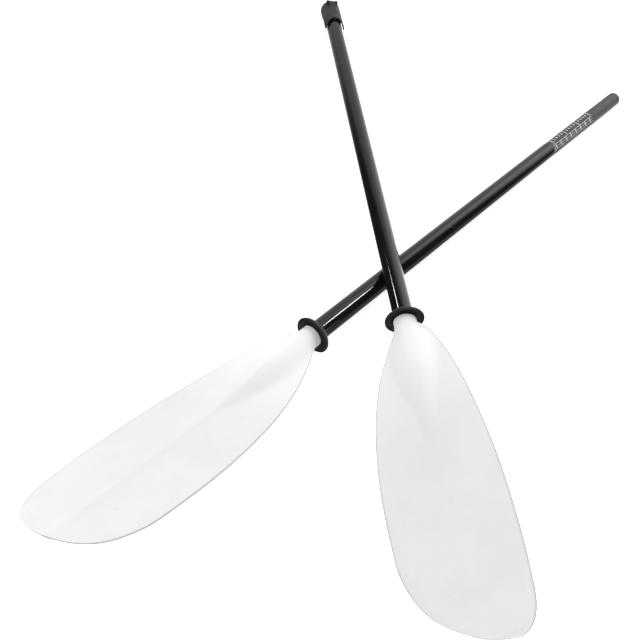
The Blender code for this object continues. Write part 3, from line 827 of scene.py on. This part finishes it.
def ink_number(bm, text, size, y, angle):
    """Digits that read round the tube, centred at a station and angle."""
    curve = bpy.data.curves.new("digits", "FONT")
    curve.body = text
    curve.size = size
    curve.align_x = "CENTER"
    curve.align_y = "CENTER"
    curve.resolution_u = 2
    holder = bpy.data.objects.new("digits", curve)
    bpy.context.scene.collection.objects.link(holder)
    graph = bpy.context.evaluated_depsgraph_get()
    flat = bmesh.new()
    flat.from_mesh(holder.evaluated_get(graph).to_mesh())
    bpy.data.objects.remove(holder)
    bpy.data.curves.remove(curve)
    copies = {}
    radius = FERRULE_RADIUS + INK
    for vert in flat.verts:
        turn = math.radians(angle) + vert.co.x / radius
        copies[vert] = bm.verts.new((radius * math.sin(turn), y + vert.co.y,
                                     radius * math.cos(turn)))
    for face in flat.faces:
        bm.faces.new([copies[vert] for vert in face.verts])
    flat.free()


def make_scale_print(scale_start):
    """Two rows of length marks with numbers, and a ladder of feather-angle lines."""
    bm = bmesh.new()
    first = scale_start + FIRST_MARK
    for i in range(MARKS):
        y = first + i * MARK_PITCH
        numbered = i % NUMBERED == 0
        ink_bar(bm, y, y + TICK, -38 if numbered else -32, -10, 8)
        ink_bar(bm, y, y + TICK, 128 if numbered else 136, 154, 8)
        if numbered:
            for angle in (0, 168):
                ink_number(bm, str(FIRST_NUMBER + i), LENGTH_DIGITS, y + TICK / 2, angle)
        if i % 2 == 0:
            ink_bar(bm, y, y + TICK, LADDER[0], LADDER[-1], 12)
    last = first + (MARKS - 1) * MARK_PITCH + TICK
    for angle, number in zip(LADDER, ("0", "30", "60")):
        ink_bar(bm, first, last, angle - LADDER_HALF_WIDTH, angle + LADDER_HALF_WIDTH, 2)
        ink_number(bm, number, ANGLE_DIGITS, first - 0.0044, angle)
    place_piece(bm, "scale_print", LEFT, "left_half", "scale", finish="print")


# ---------------------------------------------------------------- clamp on the right half
def arc(centre, radius, start, end, steps):
    """Points (y, z) on an arc; angles are in degrees from straight down towards the mouth."""
    points = []
    for i in range(steps + 1):
        angle = math.radians(start + (end - start) * i / steps)
        points.append((centre[0] + radius * math.sin(angle),
                       centre[1] - radius * math.cos(angle)))
    return points


def make_housing():
    """The clamp's fixed part: collar, hinge boss, wiper ring, pivot pin and its two rivets."""
    mouth = FERRULE_RADIUS + GAP
    body = TUBE_END + GAP
    end = RIGHT_LENGTH
    groove = end - 0.0016
    groove_width = WIPER_WIDTH + 2 * GAP
    groove_r = mouth + WIPER_DEPTH + GAP
    collar = turned((
        (TUBE_END - SLEEVE_LENGTH, SEAT_RADIUS),
        (TUBE_END - SLEEVE_LENGTH, SLEEVE_RADIUS - 0.0004),
        (TUBE_END - SLEEVE_LENGTH + 0.0005, SLEEVE_RADIUS),
        (body, SLEEVE_RADIUS),
        (body, COLLAR_RADIUS - 0.0003),
        (body + 0.0003, COLLAR_RADIUS),
        (end - 0.0040, COLLAR_RADIUS),
        (end - 0.0026, COLLAR_RADIUS - 0.0003),
        (end - 0.0014, COLLAR_RADIUS - 0.0008),
        (end - 0.0006, COLLAR_RADIUS - 0.0015),
        (end - 0.0001, COLLAR_RADIUS - 0.0024),
        (end, COLLAR_RADIUS - 0.0030),
        (end, mouth + 0.0003),
        (end - 0.0003, mouth),
        (groove, mouth),
        (groove, groove_r),
        (groove - groove_width, groove_r),
        (groove - groove_width, mouth),
        (body, mouth),
        (body, SEAT_RADIUS),
    ))
    floor = HINGE_HEIGHT - CAM_RADIUS - GAP
    slot = KNUCKLE_HALF + GAP
    foot = mouth + 0.0008
    outline = [(HINGE_Y - CAM_RADIUS, foot), (HINGE_Y + CAM_RADIUS, foot)]
    outline += arc((HINGE_Y, HINGE_HEIGHT), CAM_RADIUS, 90, 270, 28)
    boss = soften(side_extruded(outline, BOSS_HALF), 0.0005, 3, 60)
    knuckle_slot = box((-slot, body - 0.002, floor),
                       (slot, HINGE_Y + CAM_RADIUS + 0.0008, HINGE_HEIGHT + 2 * CAM_RADIUS))
    pad_window = box((-PAD_WIDTH / 2 - GAP, HINGE_Y - PAD_LENGTH / 2 - GAP, mouth - 0.004),
                     (PAD_WIDTH / 2 + GAP, HINGE_Y + PAD_LENGTH / 2 + GAP, floor + 0.002))
    pin_bore = rod(HINGE_PIN / 2 + GAP, (-2 * BOSS_HALF, HINGE_Y, HINGE_HEIGHT),
                   (2 * BOSS_HALF, HINGE_Y, HINGE_HEIGHT), 32)
    housing = carve(collar, (("UNION", boss), ("DIFFERENCE", knuckle_slot),
                             ("DIFFERENCE", pad_window), ("DIFFERENCE", pin_bore)))
    place_piece(housing, "housing_shell", RIGHT, "right_half", "clamp",
                replaces=("clamp_housing",))
    wiper = soften(tube(groove - groove_width + GAP, groove - GAP,
                        mouth + WIPER_DEPTH - GAP / 2, mouth - GAP / 2), 0.0002)
    place_piece(wiper, "wiper_ring", RIGHT, "right_half", "rubber",
                replaces=("socket_wiper",))
    pin = soften(rod(HINGE_PIN / 2, (0.0002 - BOSS_HALF, HINGE_Y, HINGE_HEIGHT),
                     (BOSS_HALF - 0.0002, HINGE_Y, HINGE_HEIGHT), 40), 0.0003, 3)
    place_piece(pin, "pivot_pin", RIGHT, "right_half", "steel", replaces=("lever_pivot_pin",))
    rivet_y = TUBE_END - SLEEVE_LENGTH / 2
    for side, angle in (("left", -140), ("right", 140)):
        make_rivet("clamp_rivet_" + side, "right_half", "housing_rivet_" + side, RIGHT,
                   rivet_y, math.radians(angle), SLEEVE_RADIUS)


def cam_outline():
    """Side view (y, z) of the lever's arm and its cam, which shrinks from bottom to front."""
    body = TUBE_END + GAP
    shell_top = COLLAR_RADIUS - LEVER_WALL / 2
    outline = [(body - 0.009, shell_top - 0.0004)]
    for degrees in range(-40, 181, 5):
        angle = math.radians(degrees)
        turn = min(max(angle / LEVER_OPEN, 0), 1)
        radius = CAM_RADIUS - CAM_DROP * turn
        outline.append((HINGE_Y + radius * math.sin(angle),
                        HINGE_HEIGHT - radius * math.cos(angle)))
    outline.append((body - 0.003, COLLAR_RADIUS + 0.0008))
    outline.append((body - 0.009, shell_top + 0.0004))
    return outline


LEVER_COLUMNS = 64
LEVER_ROWS = 28
LEVER_SHORT_OF_HALF = 0.016  # each side of the half shell, in radians


def make_lever():
    """A half shell over the shaft, hinged at the mouth, with a scooped end between two ears."""
    body = TUBE_END + GAP
    inner = COLLAR_RADIUS - LEVER_WALL
    arch_y = body - LEVER_LENGTH + LEVER_SCOOP
    top = TUBE_END - GAP
    shell = bmesh.new()
    made = bmesh.ops.create_grid(shell, x_segments=LEVER_COLUMNS, y_segments=LEVER_ROWS,
                                 size=0.5)["verts"]
    half_turn = math.pi / 2 - LEVER_SHORT_OF_HALF
    scoop_radius = (COLLAR_RADIUS**2 + LEVER_SCOOP**2) / (2 * LEVER_SCOOP)
    for vert in made:
        angle = vert.co.x * 2 * half_turn
        x = COLLAR_RADIUS * math.sin(angle)
        arch = arch_y - scoop_radius + math.sqrt(scoop_radius**2 - x**2)
        y = arch + (vert.co.y + 0.5) * (top - arch)
        vert.co = (x, y, COLLAR_RADIUS * math.cos(angle))
    bmesh.ops.recalc_face_normals(shell, faces=shell.faces)
    outward = sum(face.normal.dot(Vector((face.calc_center_median().x, 0, 1)))
                  for face in shell.faces)
    if outward < 0:
        bmesh.ops.reverse_faces(shell, faces=shell.faces)
    bmesh.ops.solidify(shell, geom=shell.faces, thickness=LEVER_WALL)
    soften(shell, 0.0005, 3, 50)
    arm = soften(side_extruded(cam_outline(), KNUCKLE_HALF), 0.0004, 3, 60)
    rib = soften(box((-0.0008, arch_y - 0.005, SHAFT_RADIUS + 0.0007),
                     (0.0008, arch_y + 0.004, inner + 0.0004)), 0.0003)
    pin_bore = rod(HINGE_PIN / 2 + GAP, (-2 * COLLAR_RADIUS, HINGE_Y, HINGE_HEIGHT),
                   (2 * COLLAR_RADIUS, HINGE_Y, HINGE_HEIGHT), 32)
    lever = carve(shell, (("UNION", arm), ("UNION", rib), ("DIFFERENCE", pin_bore)))
    place_piece(lever, "lever_shell", RIGHT, "lever", "clamp", replaces=("clamp_lever",))


def make_pad():
    """The rubber block between the cam and the ferrule, hollowed to the ferrule's radius."""
    top = HINGE_HEIGHT - CAM_RADIUS - GAP
    grip = FERRULE_RADIUS - 0.0001
    block = box((-PAD_WIDTH / 2, HINGE_Y - PAD_LENGTH / 2, grip - 0.003),
                (PAD_WIDTH / 2, HINGE_Y + PAD_LENGTH / 2, top))
    hollow = rod(grip, (0, HINGE_Y - 0.01, 0), (0, HINGE_Y + 0.01, 0), 96)
    pad = soften(carve(block, (("DIFFERENCE", hollow),)), 0.0002)
    place_piece(pad, "pad_block", RIGHT, "pad", "rubber", replaces=("pressure_pad",))


# ---------------------------------------------------------------- the paddle
for prefix, side, roll, lay, shaft_end in (
        ("left", -1, LEFT_ROLL, LEFT, LEFT_SHAFT_LENGTH),
        ("right", 1, RIGHT_ROLL, RIGHT, TUBE_END)):
    half = prefix + "_half"
    make_blade(prefix, side, roll, lay, half)
    make_shaft(prefix, shaft_end, lay, half)
    make_drip_ring(prefix, lay, prefix + "_ring")
    make_float_plug(prefix, lay, half)
    make_rivet(prefix + "_blade_rivet", half, prefix + "_neck_rivet", lay, NECK_RIVET_Y,
               roll + math.pi, NECK_RADIUS + 0.0006)
make_ferrule()
make_housing()
make_lever()
make_pad()


# ---------------------------------------------------------------- floor, light and camera
FLOOR_GLOW = 0.75
LIGHTS = (                   # name, place, size in metres, power in watts, seen in gloss
    ("overhead_softbox", (-0.3, 0.2, 3.0), 4.5, 70, False),
    ("near_fill", (-1.9, -1.9, 1.7), 2.2, 20, False),
    ("left_fill", (-2.6, -0.1, 1.7), 2.2, 20, False),
    ("right_fill", (2.4, -0.1, 1.7), 2.2, 4, False),
    ("far_fill", (0.0, 2.6, 1.9), 2.2, 4, False),
    ("lamp_over_right", (1.08, 0.375, 1.80), 0.28, 8.0, True),
    ("lamp_far_left", (-1.42, 1.08, 0.835), 0.16, 3.0, True),
)
CAMERA_PLACE = (-0.3826, -0.7637, 0.8739)
CAMERA_TURN = (35.426, -9.919, -6.518)      # in degrees
CAMERA_LENS = 40.85                         # in millimetres, on a 36 mm sensor


def make_floor():
    """A plain white table top with a little light of its own."""
    bm = bmesh.new()
    bmesh.ops.create_grid(bm, x_segments=1, y_segments=1, size=12)
    bmesh.ops.translate(bm, verts=bm.verts, vec=(0, 0, -0.0002))
    mesh = bpy.data.meshes.new("floor")
    bm.to_mesh(mesh)
    bm.free()
    material, nodes, shader = start_material("pale_floor", Roughness=0.9,
                                             Specular_IOR_Level=0.1)
    tone = nodes.patches(3.0, 3.0)
    colour = nodes.blend(tone, grey(0.90), grey(0.92))
    wire(nodes, shader, Base_Color=colour, Emission_Color=colour)
    shader.inputs["Emission Strength"].default_value = FLOOR_GLOW
    mesh.materials.append(material)
    floor = bpy.data.objects.new("floor", mesh)
    bpy.context.scene.collection.objects.link(floor)
    floor.visible_glossy = False


def area_light(name, place, size, power, shiny):
    """A square light that faces the middle of the table."""
    light = bpy.data.lights.new(name, "AREA")
    light.size = size
    light.energy = power
    holder = bpy.data.objects.new(name, light)
    holder.location = place
    holder.rotation_mode = "QUATERNION"
    holder.rotation_quaternion = (-Vector(place)).to_track_quat("-Z", "Y")
    holder.visible_glossy = shiny
    bpy.context.scene.collection.objects.link(holder)


def make_studio():
    """A bright wall beyond the table, a dim room round the rest of it, and the lights."""
    world = bpy.data.worlds.new("studio")
    world.use_nodes = True
    bpy.context.scene.world = world
    nodes = Nodes(world.node_tree)
    direction = nodes.add("TexCoord").outputs["Generated"]
    parts = nodes.add("SeparateXYZ", inputs={"Vector": direction})
    across, away, up = (parts.outputs[axis] for axis in "XYZ")
    # the wall stands a little askew and is brightest on the right
    slanted = nodes.maths("ADD", away, nodes.maths("MULTIPLY", across, 0.42))
    wall = nodes.remap(slanted, 0.47, 0.72)
    glow = nodes.maths("MULTIPLY", nodes.remap(across, -0.05, 0.45),
                       nodes.remap(away, 0.62, 0.88, 1.0, 0.0))
    level = nodes.maths("ADD", nodes.maths("MULTIPLY", glow, 1.2), 0.75)
    # the table's own paleness, seen in gloss from below and to the right
    table = nodes.maths("MULTIPLY", nodes.remap(up, -0.12, 0.02, 0.34, 0.0),
                        nodes.remap(across, -0.35, 0.10))
    strength = nodes.maths("ADD", nodes.maths("MULTIPLY", wall, level),
                           nodes.maths("ADD", table, 0.02))
    background = world.node_tree.nodes["Background"]
    background.inputs["Color"].default_value = (1, 1, 1, 1)
    world.node_tree.links.new(strength, background.inputs["Strength"])
    for light in LIGHTS:
        area_light(*light)


def make_camera():
    """Looks down the paddle from above its blades."""
    lens = bpy.data.cameras.new("camera")
    lens.sensor_width = 36
    lens.lens = CAMERA_LENS
    camera = bpy.data.objects.new("camera", lens)
    camera.location = CAMERA_PLACE
    camera.rotation_euler = [math.radians(angle) for angle in CAMERA_TURN]
    bpy.context.scene.collection.objects.link(camera)
    bpy.context.scene.camera = camera


make_floor()
make_studio()
make_camera()
bpy.context.scene.view_settings.view_transform = "Standard"
